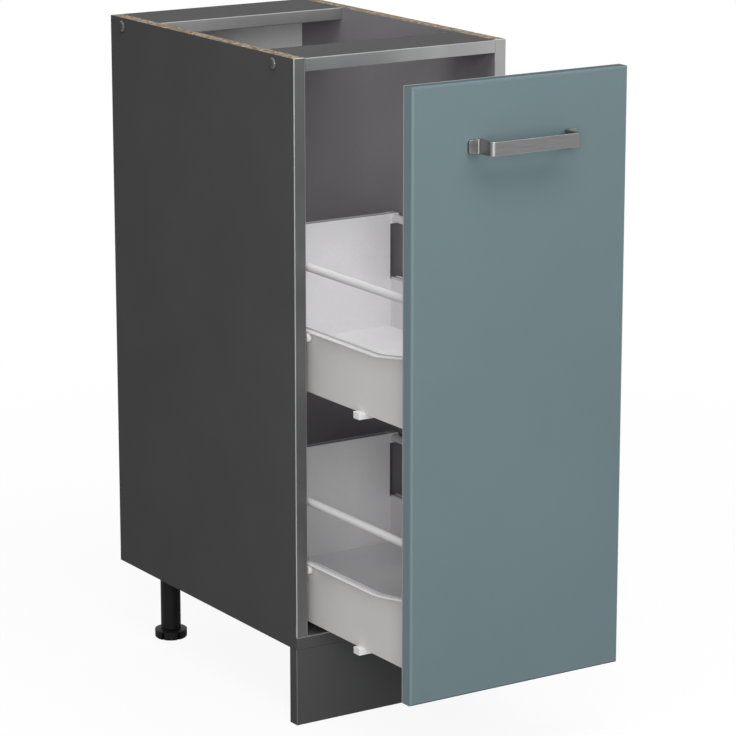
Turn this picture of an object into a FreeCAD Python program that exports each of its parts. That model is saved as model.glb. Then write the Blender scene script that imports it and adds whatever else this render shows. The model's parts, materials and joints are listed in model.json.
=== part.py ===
import FreeCAD, Part
import math
import operator
import os
from types import SimpleNamespace

import Sketcher

# A narrow base cabinet with a two-tray pull-out, drawn partly open.
# X runs across from the middle plane, Y runs back, Z runs up from the floor.
# Inside this file Y is counted from the carcass front; place() then centres the part.

# Driving sizes in millimetres
DRIVING_SIZES = {
    # Carcass
    "cabinet_width": 300,
    "carcass_height": 720,
    "plinth_height": 96,
    "side_depth": 443,
    "board": 16,
    "back_thick": 3,
    "back_inset": 2,
    "front_rail_depth": 84,
    "rear_rail_depth": 98,
    "bracket_leg": 30,
    "bracket_thick": 3,
    "bracket_width": 24,
    "bracket_inset": 60,
    # Screws that hold the boards together
    "joint_screw_dia": 5,
    "joint_screw_length": 48,
    "joint_head_dia": 10,
    "joint_head_depth": 2.5,
    "joint_screw_front": 46,
    "joint_screw_rear": 30,
    "hole_clearance": 0.1,
    # Rear legs
    "leg_inset": 40,
    "leg_from_back": 61,
    "leg_dia": 26,
    "leg_flange_dia": 40,
    "leg_flange_thick": 4,
    "foot_dia": 42,
    "foot_rim": 11,
    "foot_height": 12.5,
    "foot_neck_dia": 29,
    "foot_chamfer": 1.5,
    "foot_notch_width": 4,
    "foot_notch_depth": 2.5,
    "foot_notch_over": 2,
    "foot_notch_rise": 9.5,
    "stem_dia": 12,
    "stem_length": 50,
    "stem_clearance": 0.1,
    "stem_headroom": 6,
    # Front and handle
    "front_thick": 18,
    "front_height": 718,
    "front_side_gap": 2,
    "front_foot_gap": 1.5,
    "front_round": 3,
    "closed_gap": 2,
    "open_distance": 226,
    "handle_span": 148,
    "handle_pad": 13,
    "handle_pad_round": 3,
    "handle_strap": 4,
    "handle_height": 16,
    "handle_reach": 30,
    "handle_drop": 73,
    "handle_bend": 2,
    "handle_screw_pitch": 136,
    "handle_screw_dia": 4,
    "handle_screw_bite": 3,
    "handle_head_dia": 8.5,
    "handle_head_height": 2.5,
    # Trays
    "tray_lift": 12.5,
    "tray_pitch": 288,
    "tray_length": 432,
    "tray_side_gap": 10,
    "tray_wall": 5.5,
    "tray_sheet": 1,
    "tray_lip": 12,
    "tray_rise": 77,
    "rim_thick": 2.7,
    "rim_out": 6,
    "rim_groove": 1.7,
    "rim_groove_width": 4.5,
    "rim_lip": 1.5,
    "ramp_length": 83,
    "ramp_rise": 13,
    "ramp_bend": 120,
    "tray_floor_thick": 12,
    "tray_floor_clear": 0.2,
    "tray_back_rise": 158.5,
    "tray_back_board": 12,
    "tray_back_inset": 1.2,
    "front_plate_thick": 2,
    "front_plate_width": 20,
    "front_block_height": 48,
    "front_block_lift": 12,
    "front_block_tongue": 40,
    "front_block_fit": 0.1,
    # Gallery rods above the tray walls
    "gallery_dia": 10,
    "gallery_rise": 152.2,
    "socket_dia": 16,
    "socket_length": 10,
    "socket_base": 2,
    "holder_wall": 1.5,
    "holder_bore": 9,
    "holder_round": 2.5,
    # Side guide clips under the trays
    "clip_from_front": 115.5,
    "clip_length": 12.5,
    "clip_side_gap": 1.7,
    "clip_drop": 6.2,
    "clip_rise": 2.1,
    "clip_reach": 12,
    # Roller runners
    "roller_dia": 11,
    "roller_width": 5.4,
    "roller_edge": 0.6,
    "roller_inset": 2.8,
    "roller_end_gap": 0.2,
    "roller_fit": 0.08,
    "track_gap": 0.3,
    "pin_dia": 3.4,
    "pin_collar_dia": 6.4,
    "pin_head_dia": 5.4,
    "pin_head_length": 0.8,
    "front_roller_setback": 6.5,
    "rear_roller_from_back": 13.5,
    "roller_drop": 7,
    "runner_sheet": 1.2,
    "runner_flange": 8.6,
    "runner_setback": 2,
    "runner_end_gap": 8,
    "runner_ear": 4,
    "runner_nose_gap": 2,
    "runner_screw_first": 37,
    "runner_screw_pitch": 224,
    "runner_screw_dia": 4,
    "runner_screw_depth": 11,
    "runner_head_dia": 7,
    "runner_head_height": 0.8,
}
FOOT_NOTCHES = 6

doc = FreeCAD.newDocument("PullOutCabinet")
sheet = doc.addObject("Spreadsheet::Sheet", "Sizes")


class Size:
    """A length that keeps its value and the sheet formula that gives it."""

    def __init__(self, value, formula=None):
        self.value = float(value)
        self.formula = formula or f"({float(value)!r})"

    def __add__(self, other):
        return joined(self, "+", other)

    def __radd__(self, other):
        return joined(other, "+", self)

    def __sub__(self, other):
        return joined(self, "-", other)

    def __rsub__(self, other):
        return joined(other, "-", self)

    def __mul__(self, other):
        return joined(self, "*", other)

    def __rmul__(self, other):
        return joined(other, "*", self)

    def __truediv__(self, other):
        return joined(self, "/", other)

    def __neg__(self):
        return joined(0, "-", self)


OPERATIONS = {"+": operator.add, "-": operator.sub, "*": operator.mul, "/": operator.truediv}


def as_size(number):
    return number if isinstance(number, Size) else Size(number)


def joined(left, sign, right):
    left, right = as_size(left), as_size(right)
    value = OPERATIONS[sign](left.value, right.value)
    return Size(value, f"({left.formula} {sign} {right.formula})")


def fill_sheet():
    """Write the driving sizes to the sheet and return them by name."""
    named = {}
    for row, (alias, value) in enumerate(DRIVING_SIZES.items(), start=1):
        sheet.set(f"A{row}", alias.replace("_", " "))
        sheet.set(f"B{row}", str(value))
        sheet.setAlias(f"B{row}", alias)
        named[alias] = Size(value, f"Sizes.{alias}")
    doc.recompute()
    return SimpleNamespace(**named)


s = fill_sheet()

# Levels and planes that several pieces share
half_width = s.cabinet_width / 2
inner_half = half_width - s.board
floor_top = s.plinth_height + s.board
carcass_top = s.plinth_height + s.carcass_height
rail_bottom = carcass_top - s.board
front_back = -(s.closed_gap + s.open_distance)
front_face = front_back - s.front_thick
front_low = s.plinth_height + s.front_foot_gap
front_half = half_width - s.front_side_gap
handle_z = front_low + s.front_height - s.handle_drop
y_middle = (s.side_depth + s.back_thick + front_face - s.handle_reach) / 2
TRAY_LEVELS = {
    "upper": floor_top + s.tray_lift + s.tray_pitch,
    "lower": floor_top + s.tray_lift,
}

# Sections of the trays and runners, counted from the tray's underside
tray_half = inner_half - s.tray_side_gap
tray_inner_half = tray_half - s.tray_wall
wall_rise = s.tray_rise - s.rim_thick
tray_back_half = tray_inner_half - s.tray_back_inset
tray_back_y = front_back + s.tray_length
tray_depth = s.tray_length - s.front_plate_thick
roller_radius = s.roller_dia / 2
pin_radius = s.pin_dia / 2
front_roller_z = wall_rise - s.track_gap - roller_radius
rear_roller_z = front_roller_z - s.roller_drop
track_half = roller_radius + s.track_gap
roller_outer = s.roller_inset + s.roller_width

DIRECTIONS = {
    "+X": FreeCAD.Rotation(FreeCAD.Vector(0, 1, 0), 90),
    "-X": FreeCAD.Rotation(FreeCAD.Vector(0, 1, 0), -90),
    "+Y": FreeCAD.Rotation(FreeCAD.Vector(1, 0, 0), -90),
    "-Y": FreeCAD.Rotation(FreeCAD.Vector(1, 0, 0), 90),
    "+Z": FreeCAD.Rotation(),
}
sub_parts = []


def kept(piece):
    """Mark an object as one of the sub-parts that are written out."""
    sub_parts.append(piece)
    return piece


def bind(target, path, size):
    target.setExpression(path, as_size(size).formula)


def place(target, x, y, z):
    for axis, size in zip("xyz", (x, as_size(y) - y_middle, z)):
        bind(target, f"Placement.Base.{axis}", size)


def box(label, low, high):
    piece = doc.addObject("Part::Box", label)
    for path, start, end in zip(("Length", "Width", "Height"), low, high):
        bind(piece, path, as_size(end) - start)
    place(piece, *low)
    return piece


def cylinder(label, diameter, length, start, direction):
    piece = doc.addObject("Part::Cylinder", label)
    bind(piece, "Radius", as_size(diameter) / 2)
    bind(piece, "Height", length)
    piece.Placement = FreeCAD.Placement(FreeCAD.Vector(), DIRECTIONS[direction])
    place(piece, *start)
    return piece


def group(label, members):
    piece = doc.addObject("Part::Compound", label)
    piece.Links = members
    return piece


def fused(label, members):
    piece = doc.addObject("Part::MultiFuse", label)
    piece.Shapes = members
    return piece


def cut(label, base, tools):
    piece = doc.addObject("Part::Cut", label)
    piece.Base = base
    piece.Tool = tools[0] if len(tools) == 1 else group(f"{label}_cuts", tools)
    return piece


def mirrored(label, source):
    """The same piece on the other side of the middle plane."""
    piece = doc.addObject("Part::Mirroring", label)
    piece.Source = source
    piece.Normal = FreeCAD.Vector(1, 0, 0)
    return piece


def new_body(label, x, y, z):
    body = doc.addObject("PartDesign::Body", label)
    place(body, x, y, z)
    return body


def new_sketch(body, plane, offset=0):
    """A sketch on one of the body's own planes, moved along the plane's normal."""
    sketch = body.newObject("Sketcher::SketchObject", f"{body.Label}_sketch")
    support = [face for face in body.Origin.OriginFeatures if face.Role == plane]
    sketch.AttachmentSupport = [(support[0], "")]
    sketch.MapMode = "FlatFace"
    bind(sketch, "AttachmentOffset.Base.z", offset)
    return sketch


def pin_point(sketch, geometry, end, point):
    """Hold one end of a sketch line at sizes from the sheet."""
    for kind, size in zip(("DistanceX", "DistanceY"), point):
        size = as_size(size)
        row = sketch.addConstraint(Sketcher.Constraint(kind, -1, 1, geometry, end, size.value))
        sketch.setExpression(f"Constraints[{row}]", size.formula)


def vector(point):
    return FreeCAD.Vector(as_size(point[0]).value, as_size(point[1]).value, 0)


def draw_polygon(sketch, points):
    """A closed outline with straight sides."""
    first = sketch.GeometryCount
    following = points[1:] + points[:1]
    for start, end in zip(points, following):
        sketch.addGeometry(Part.LineSegment(vector(start), vector(end)), False)
    for index, point in enumerate(points):
        after = first + (index + 1) % len(points)
        sketch.addConstraint(Sketcher.Constraint("Coincident", first + index, 2, after, 1))
        pin_point(sketch, first + index, 1, point)


def draw_rectangle(sketch, low, high):
    draw_polygon(sketch, [low, (high[0], low[1]), high, (low[0], high[1])])


def draw_line(sketch, start, end):
    return sketch.addGeometry(Part.LineSegment(vector(start), vector(end)), False)


def draw_arc(sketch, start, middle, end):
    """An arc through three points, free until it is joined to its neighbours."""
    return sketch.addGeometry(Part.Arc(vector(start), vector(middle), vector(end)), False)


def meet(sketch, kind, first, first_end, second, second_end):
    sketch.addConstraint(Sketcher.Constraint(kind, first, first_end, second, second_end))


def arc_ends(sketch, arc, first):
    """The arc's end numbers, the one at the given point first."""
    near = sketch.getPoint(arc, 1).distanceToPoint(vector(first))
    far = sketch.getPoint(arc, 2).distanceToPoint(vector(first))
    return (1, 2) if near < far else (2, 1)


def draw_ramp_run(sketch, level):
    """The rim's line from the tray's rear forward, then up the ramp; returns its two straight runs.

    The ramp lowers the tray onto the front rollers as it closes, so that it stays shut.
    """
    slope = math.atan2(s.ramp_rise.value, s.ramp_length.value)
    bend = s.ramp_bend.value
    tangent = bend * math.tan(slope / 2)
    knee = s.ramp_length.value - tray_depth.value
    base = as_size(level).value
    before = (knee + tangent, base)
    after = (knee - tangent * math.cos(slope), base + tangent * math.sin(slope))
    halfway = (before[0] - bend * math.sin(slope / 2), base + bend * (1 - math.cos(slope / 2)))
    level_run = draw_line(sketch, (0, base), before)
    tip = (-tray_depth, level + s.ramp_rise)
    ramp_run = draw_line(sketch, after, tip)
    arc = draw_arc(sketch, before, halfway, after)
    on_before, on_after = arc_ends(sketch, arc, before)
    meet(sketch, "Tangent", level_run, 2, arc, on_before)
    meet(sketch, "Tangent", ramp_run, 1, arc, on_after)
    row = sketch.addConstraint(Sketcher.Constraint("Radius", arc, bend))
    sketch.setExpression(f"Constraints[{row}]", s.ramp_bend.formula)
    sketch.addConstraint(Sketcher.Constraint("Horizontal", level_run))
    pin_point(sketch, level_run, 1, (0, level))
    pin_point(sketch, ramp_run, 2, tip)
    aim = sketch.addGeometry(Part.Point(vector((knee, base))), True)
    pin_point(sketch, aim, 1, (s.ramp_length - tray_depth, level))
    sketch.addConstraint(Sketcher.Constraint("PointOnObject", aim, 1, ramp_run))
    return level_run, ramp_run


def pad(body, sketch, length, backwards=False):
    feature = body.newObject("PartDesign::Pad", f"{body.Label}_pad")
    feature.Profile = sketch
    bind(feature, "Length", length)
    feature.Reversed = backwards
    return feature


def revolution(body, sketch, axis):
    feature = body.newObject("PartDesign::Revolution", f"{body.Label}_turned")
    feature.Profile = sketch
    feature.ReferenceAxis = (sketch, [axis])
    feature.Angle = 360
    return feature


def fillet_where(body, feature, radius, wanted):
    """Round the edges of a feature whose middle point passes a test."""
    doc.recompute()
    names = []
    for index, edge in enumerate(feature.Shape.Edges, start=1):
        start, end = edge.Vertexes[0].Point, edge.Vertexes[-1].Point
        if wanted(edge.CenterOfMass, end - start):
            names.append(f"Edge{index}")
    rounded = body.newObject("PartDesign::Fillet", f"{body.Label}_round")
    rounded.Base = (feature, names)
    bind(rounded, "Radius", radius)
    return rounded


def close(first, second):
    return abs(first - second) < 1e-4


# Carcass boards

def joint_screw(label, start, direction):
    """A board screw with its head flush in the face that it enters."""
    head = cylinder(f"{label}_head", s.joint_head_dia, s.joint_head_depth, start, direction)
    shank = cylinder(f"{label}_shank", s.joint_screw_dia, s.joint_screw_length, start, direction)
    return fused(label, [head, shank])


def joint_hole(label, start, direction):
    """The drilling for one board screw, a little wider than the screw."""
    wide = s.joint_screw_dia + 2 * s.hole_clearance
    head_wide = s.joint_head_dia + 2 * s.hole_clearance
    head = cylinder(f"{label}_head", head_wide, s.joint_head_depth, start, direction)
    long = s.joint_screw_length + s.hole_clearance
    shank = cylinder(f"{label}_shank", wide, long, start, direction)
    return [head, shank]


rail_screw_y = {"front": s.joint_screw_front, "rear": s.side_depth - s.joint_screw_rear}
rail_screw_z = carcass_top - s.board / 2
base_screw_x = half_width - s.board / 2


def rail_screw_start(end):
    return (-half_width, rail_screw_y[end], rail_screw_z)


def base_screw_start(end):
    return (-base_screw_x, rail_screw_y[end], s.plinth_height)


def runner_screw_depths():
    return [s.runner_screw_first, s.runner_screw_first + s.runner_screw_pitch]


def runner_screw_places():
    """Depth from the front and height of each runner screw on one side."""
    for level in TRAY_LEVELS.values():
        for y in runner_screw_depths():
            yield y, level + rear_roller_z


def make_sides():
    low = (-half_width, 0, floor_top)
    high = (-inner_half, s.side_depth, carcass_top)
    drillings = []
    for end in rail_screw_y:
        drillings += joint_hole(f"side_rail_hole_{end}", rail_screw_start(end), "+X")
        drillings += joint_hole(f"side_base_hole_{end}", base_screw_start(end), "+Z")
    wide = s.runner_screw_dia + 2 * s.hole_clearance
    deep = s.runner_screw_depth + s.hole_clearance
    for y, z in runner_screw_places():
        drillings.append(cylinder("side_runner_hole", wide, deep, (-inner_half, y, z), "-X"))
    left = kept(cut("side_panel_left", box("side_board", low, high), drillings))
    kept(mirrored("side_panel_right", left))


def make_bottom():
    board = box("bottom_board", (-half_width, 0, s.plinth_height), (half_width, s.side_depth, floor_top))
    drillings = []
    for end in rail_screw_y:
        left = group(f"bottom_holes_{end}", joint_hole(f"bottom_hole_{end}", base_screw_start(end), "+Z"))
        drillings += [left, mirrored(f"bottom_holes_{end}_right", left)]
    kept(cut("bottom_panel", board, drillings))


def make_top_rails():
    spans = {"front": (0, s.front_rail_depth), "rear": (s.side_depth - s.rear_rail_depth, s.side_depth)}
    for end, (near, far) in spans.items():
        board = box(f"{end}_rail_board", (-inner_half, near, rail_bottom), (inner_half, far, carcass_top))
        left = group(f"{end}_rail_holes", joint_hole(f"{end}_rail_hole", rail_screw_start(end), "+X"))
        right = mirrored(f"{end}_rail_holes_right", left)
        kept(cut(f"top_rail_{end}", board, [left, right]))


def make_board_screws():
    for label, start, direction in (("rail_screws", rail_screw_start, "+X"),
                                    ("base_screws", base_screw_start, "+Z")):
        screws = []
        for end in rail_screw_y:
            left = joint_screw(f"{label}_{end}", start(end), direction)
            screws += [left, mirrored(f"{label}_{end}_right", left)]
        kept(group(label, screws))


def make_back_and_plinth():
    inset = half_width - s.back_inset
    back_far = s.side_depth + s.back_thick
    kept(box("back_panel", (-inset, s.side_depth, s.plinth_height + s.back_inset),
             (inset, back_far, carcass_top - s.back_inset)))
    kept(box("plinth_panel", (-half_width, 0, 0), (half_width, s.board, s.plinth_height)))


def make_plinth_brackets():
    """Angle brackets between the plinth and the underside of the bottom board."""
    body = new_body("plinth_bracket", -half_width + s.bracket_inset, s.board, s.plinth_height)
    section = new_sketch(body, "YZ_Plane")
    heel = s.bracket_thick * 2
    draw_polygon(section, [
        (0, 0),
        (s.bracket_leg, 0),
        (s.bracket_leg, -s.bracket_thick),
        (heel, -s.bracket_thick),
        (s.bracket_thick, -heel),
        (s.bracket_thick, -s.bracket_leg),
        (0, -s.bracket_leg),
    ])
    pad(body, section, s.bracket_width)
    kept(group("plinth_brackets", [body, mirrored("plinth_bracket_right", body)]))


# Rear legs with levelling feet

def make_legs():
    leg_x, leg_y = -half_width + s.leg_inset, s.side_depth - s.leg_from_back
    stem_radius = s.stem_dia / 2
    stem_top = s.foot_height + s.stem_length
    bore_radius = stem_radius + s.stem_clearance
    bore_top = stem_top + s.stem_headroom
    flange_low = s.plinth_height - s.leg_flange_thick

    leg = new_body("leg_left", leg_x, leg_y, 0)
    section = new_sketch(leg, "XZ_Plane")
    draw_polygon(section, [
        (bore_radius, s.foot_height),
        (s.leg_dia / 2, s.foot_height),
        (s.leg_dia / 2, flange_low),
        (s.leg_flange_dia / 2, flange_low),
        (s.leg_flange_dia / 2, s.plinth_height),
        (0, s.plinth_height),
        (0, bore_top),
        (bore_radius, bore_top),
    ])
    revolution(leg, section, "V_Axis")
    kept(leg)
    kept(mirrored("leg_right", leg))

    foot = new_body("foot_left", leg_x, leg_y, 0)
    section = new_sketch(foot, "XZ_Plane")
    foot_radius = s.foot_dia / 2
    draw_polygon(section, [
        (0, 0),
        (foot_radius - s.foot_chamfer, 0),
        (foot_radius, s.foot_chamfer),
        (foot_radius, s.foot_rim),
        (s.foot_neck_dia / 2, s.foot_height),
        (stem_radius, s.foot_height),
        (stem_radius, stem_top),
        (0, stem_top),
    ])
    disc = revolution(foot, section, "V_Axis")
    doc.recompute()
    whole = disc.Shape.Volume
    notch = new_sketch(foot, "XY_Plane")
    notch_half = s.foot_notch_width / 2
    draw_rectangle(notch, (-notch_half, foot_radius - s.foot_notch_depth),
                   (notch_half, foot_radius + s.foot_notch_over))
    pocket = foot.newObject("PartDesign::Pocket", "foot_notch")
    pocket.Profile = notch
    pocket.Reversed = True
    bind(pocket, "Length", s.foot_notch_rise)
    doc.recompute()
    notches = foot.newObject("PartDesign::PolarPattern", "foot_notches")
    notches.Originals = [pocket]
    notches.Axis = (notch, ["N_Axis"])
    notches.Angle = 360
    notches.Occurrences = FOOT_NOTCHES
    foot.Tip = notches
    doc.recompute()
    if not foot.Shape.Volume < pocket.Shape.Volume < whole:
        raise RuntimeError("the foot's notches cut nothing")
    kept(foot)
    kept(mirrored("foot_right", foot))


# Roller runners on the cabinet sides

def turned_pin(label, x, y, z, steps):
    """A pin along +X, drawn as (start, end, diameter) steps in order."""
    body = new_body(label, x, y, z)
    section = new_sketch(body, "XY_Plane")
    points = [(steps[0][0], 0)]
    for start, end, diameter in steps:
        points += [(start, diameter / 2), (end, diameter / 2)]
    points.append((steps[-1][1], 0))
    draw_polygon(section, points)
    revolution(body, section, "H_Axis")
    return body


def roller(label, x, y, z):
    """A plastic roller with a bore and broken edges, its near end at x."""
    body = new_body(label, x, y, z)
    section = new_sketch(body, "XY_Plane")
    bore = pin_radius + s.roller_fit
    shoulder = roller_radius - s.roller_edge
    draw_polygon(section, [
        (0, bore),
        (s.roller_width, bore),
        (s.roller_width, shoulder),
        (s.roller_width - s.roller_edge, roller_radius),
        (s.roller_edge, roller_radius),
        (0, shoulder),
    ])
    revolution(body, section, "H_Axis")
    return body


def make_cabinet_runner(level_name, level):
    """A channel for the rear roller, with a raised nose that carries the front roller."""
    body = new_body(f"runner_channel_{level_name}", -inner_half, 0, level)
    track_low, track_high = rear_roller_z - track_half, rear_roller_z + track_half
    sheet_low, sheet_high = track_low - s.runner_sheet, track_high + s.runner_sheet
    flange_start = s.front_roller_setback + roller_radius + s.runner_nose_gap
    end = s.side_depth - s.runner_end_gap
    web = new_sketch(body, "YZ_Plane")
    draw_polygon(web, [
        (s.runner_setback, sheet_low),
        (end, sheet_low),
        (end, sheet_high),
        (flange_start, sheet_high),
        (s.front_roller_setback + s.runner_ear, front_roller_z + s.runner_ear),
        (s.runner_setback, front_roller_z + s.runner_ear),
    ])
    pad(body, web, s.runner_sheet)
    flanges = new_sketch(body, "YZ_Plane")
    draw_rectangle(flanges, (flange_start, sheet_low), (end, track_low))
    draw_rectangle(flanges, (flange_start, track_high), (end, sheet_high))
    pad(body, flanges, s.runner_flange)
    screw_wide = s.runner_screw_dia + 2 * s.hole_clearance
    screw_z = level + rear_roller_z
    holes = [cylinder("runner_hole", screw_wide, s.runner_sheet, (-inner_half, y, screw_z), "+X")
             for y in runner_screw_depths()]
    rivet_wide = s.pin_dia + 2 * s.hole_clearance
    rivet_start = (-inner_half, s.front_roller_setback, level + front_roller_z)
    holes.append(cylinder("rivet_hole", rivet_wide, s.runner_sheet, rivet_start, "+X"))
    left = kept(cut(f"cabinet_runner_{level_name}_left", body, holes))
    kept(mirrored(f"cabinet_runner_{level_name}_right", left))


def make_front_rollers(level_name, level):
    left = kept(roller(f"front_roller_{level_name}_left", -inner_half + s.roller_inset,
                       s.front_roller_setback, level + front_roller_z))
    kept(mirrored(f"front_roller_{level_name}_right", left))


def make_rear_rollers(level_name, level):
    y = tray_back_y - s.rear_roller_from_back
    left = kept(roller(f"rear_roller_{level_name}_left", -inner_half + s.roller_inset,
                       y, level + rear_roller_z))
    kept(mirrored(f"rear_roller_{level_name}_right", left))


def make_roller_pins():
    front_steps = [
        (as_size(0), s.runner_sheet, s.pin_dia),
        (s.runner_sheet, s.roller_inset - s.roller_end_gap, s.pin_collar_dia),
        (s.roller_inset - s.roller_end_gap, roller_outer + s.roller_end_gap, s.pin_dia),
        (roller_outer + s.roller_end_gap, roller_outer + s.roller_end_gap + s.pin_head_length,
         s.pin_head_dia),
    ]
    rear_steps = [
        (s.roller_inset, roller_outer + s.roller_end_gap, s.pin_dia),
        (roller_outer + s.roller_end_gap, s.tray_side_gap, s.pin_collar_dia),
    ]
    rear_y = tray_back_y - s.rear_roller_from_back
    for label, y, rise, steps in (("front_roller_pins", s.front_roller_setback, front_roller_z, front_steps),
                                  ("rear_roller_pins", rear_y, rear_roller_z, rear_steps)):
        pins = []
        for level_name, level in TRAY_LEVELS.items():
            left = turned_pin(f"{label}_{level_name}", -inner_half, y, level + rise, steps)
            pins += [left, mirrored(f"{label}_{level_name}_right", left)]
        kept(group(label, pins))


def make_runner_screws():
    screws = []
    web_face = -inner_half + s.runner_sheet
    long = s.runner_sheet + s.runner_screw_depth
    for y, z in runner_screw_places():
        head = cylinder("runner_screw_head", s.runner_head_dia, s.runner_head_height, (web_face, y, z), "+X")
        shank = cylinder("runner_screw_shank", s.runner_screw_dia, long, (web_face, y, z), "-X")
        left = fused("runner_screw", [head, shank])
        screws += [left, mirrored("runner_screw_right", left)]
    kept(group("runner_screws", screws))


# Front panel and handle

def handle_screw_starts():
    for side in (-1, 1):
        yield side * s.handle_screw_pitch / 2, handle_z


def make_front():
    body = new_body("front_board", -front_half, front_back, front_low)
    outline = new_sketch(body, "XZ_Plane")
    draw_rectangle(outline, (0, 0), (2 * front_half, s.front_height))
    board = pad(body, outline, s.front_thick)
    fillet_where(body, board, s.front_round, lambda middle, _: close(middle.y, -s.front_thick.value))
    wide = s.handle_screw_dia + 2 * s.hole_clearance
    holes = [cylinder("front_screw_hole", wide, s.front_thick, (x, front_back, z), "-Y")
             for x, z in handle_screw_starts()]
    kept(cut("front_panel", body, holes))


def make_handle():
    """A flat strap bent outward from two feet."""
    body = new_body("handle_strap", 0, front_face, handle_z - s.handle_height / 2)
    outline = new_sketch(body, "XY_Plane")
    tip = s.handle_span / 2
    riser = tip - s.handle_pad
    inner = riser - s.handle_strap
    bar_back = -(s.handle_reach - s.handle_strap)
    half_outline = [
        (inner, bar_back),
        (inner, as_size(0)),
        (tip, as_size(0)),
        (tip, -s.handle_strap),
        (riser, -s.handle_strap),
        (riser, -s.handle_reach),
    ]
    other_half = [(-x, y) for x, y in reversed(half_outline)]
    draw_polygon(outline, half_outline + other_half)
    strap = pad(body, outline, s.handle_height)

    def bends_at(*corners):
        """A test for the strap's upright edges at some corners of its outline."""
        places = [(x.value, y.value) for x, y in corners]
        return lambda middle, run: close(run.x, 0) and close(run.y, 0) and any(
            close(abs(middle.x), x) and close(middle.y, y) for x, y in places)

    outside = bends_at((riser, -s.handle_reach), (inner, as_size(0)))
    inside = bends_at((riser, -s.handle_strap), (inner, bar_back))
    strap = fillet_where(body, strap, s.handle_bend + s.handle_strap, outside)
    strap = fillet_where(body, strap, s.handle_bend, inside)
    tip_x = tip.value
    fillet_where(body, strap, s.handle_pad_round,
                 lambda middle, run: close(abs(middle.x), tip_x) and abs(run.y) > 1e-4)
    wide = s.handle_screw_dia + 2 * s.hole_clearance
    holes = [cylinder("handle_hole", wide, s.handle_screw_bite + s.hole_clearance, (x, front_face, z), "-Y")
             for x, z in handle_screw_starts()]
    kept(cut("handle", body, holes))


def make_handle_screws():
    screws = []
    long = s.front_thick + s.handle_screw_bite
    for x, z in handle_screw_starts():
        start = (x, front_back, z)
        head = cylinder("handle_screw_head", s.handle_head_dia, s.handle_head_height, start, "+Y")
        shank = cylinder("handle_screw_shank", s.handle_screw_dia, long, start, "-Y")
        screws.append(fused("handle_screw", [head, shank]))
    kept(group("handle_screws", screws))


# Trays that ride with the front

def draw_wall_side(sketch):
    """Side view of a tray wall: a straight underside and a top edge that follows the ramp."""
    level_run, ramp_run = draw_ramp_run(sketch, wall_rise)
    nose, heel = (-tray_depth, as_size(0)), (as_size(0), as_size(0))
    front = draw_line(sketch, (-tray_depth, wall_rise + s.ramp_rise), nose)
    base = draw_line(sketch, nose, heel)
    rear = draw_line(sketch, heel, (0, wall_rise))
    meet(sketch, "Coincident", ramp_run, 2, front, 1)
    meet(sketch, "Coincident", front, 2, base, 1)
    meet(sketch, "Coincident", base, 2, rear, 1)
    meet(sketch, "Coincident", rear, 2, level_run, 1)
    pin_point(sketch, base, 1, nose)
    pin_point(sketch, base, 2, heel)


def make_tray_wall(level_name, level):
    """Two double-skinned sheet sides, each with a lip under the floor."""
    body = new_body(f"tray_side_{level_name}", -tray_half, tray_back_y, level)
    base = new_sketch(body, "XY_Plane")
    draw_rectangle(base, (0, -tray_depth), (s.tray_wall + s.tray_lip, 0))
    pad(body, base, s.tray_sheet)
    for offset in (0, s.tray_wall - s.tray_sheet):
        skin = new_sketch(body, "YZ_Plane", offset)
        draw_wall_side(skin)
        pad(body, skin, s.tray_sheet)
    kept(group(f"tray_wall_{level_name}", [body, mirrored("tray_side_right", body)]))


def draw_rim_section(sketch):
    """A half-round outer bead, a groove and a thin inner lip."""
    bead = s.rim_thick / 2
    bead_start = bead - s.rim_out
    groove_end = s.tray_wall - s.rim_lip
    groove_start = groove_end - s.rim_groove_width
    groove_low = s.tray_rise - s.rim_groove
    points = [
        (bead_start, s.tray_rise),
        (groove_start, s.tray_rise),
        (groove_start, groove_low),
        (groove_end, groove_low),
        (groove_end, s.tray_rise),
        (s.tray_wall, s.tray_rise),
        (s.tray_wall, wall_rise),
        (bead_start, wall_rise),
    ]
    lines = [draw_line(sketch, first, second) for first, second in zip(points, points[1:])]
    for line, following in zip(lines, lines[1:]):
        meet(sketch, "Coincident", line, 2, following, 1)
    for line, point in zip(lines, points):
        pin_point(sketch, line, 1, point)
    pin_point(sketch, lines[-1], 2, points[-1])
    arc = draw_arc(sketch, points[-1], (-s.rim_out, wall_rise + bead), points[0])
    low_end, high_end = arc_ends(sketch, arc, points[-1])
    meet(sketch, "Tangent", lines[-1], 2, arc, low_end)
    meet(sketch, "Coincident", lines[0], 1, arc, high_end)


def make_tray_rim(level_name, level):
    """The rolled rims that cap the walls and run on the front rollers."""
    body = new_body(f"tray_rim_strip_{level_name}", -tray_half, tray_back_y, level)
    path = new_sketch(body, "YZ_Plane")
    runs = draw_ramp_run(path, wall_rise)
    section = new_sketch(body, "XZ_Plane")
    draw_rim_section(section)
    doc.recompute()
    sweep = body.newObject("PartDesign::AdditivePipe", f"{body.Label}_sweep")
    sweep.Profile = section
    sweep.Spine = (path, [f"Edge{count + 1}" for count in range(len(runs) + 1)])
    kept(group(f"tray_rim_{level_name}", [body, mirrored("tray_rim_strip_right", body)]))


def make_tray_floor(level_name, level):
    half = tray_inner_half - s.tray_floor_clear
    low = level + s.tray_sheet
    near = front_back + s.front_plate_thick + s.tray_floor_clear
    kept(box(f"tray_floor_{level_name}", (-half, near, low), (half, tray_back_y, low + s.tray_floor_thick)))


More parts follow.
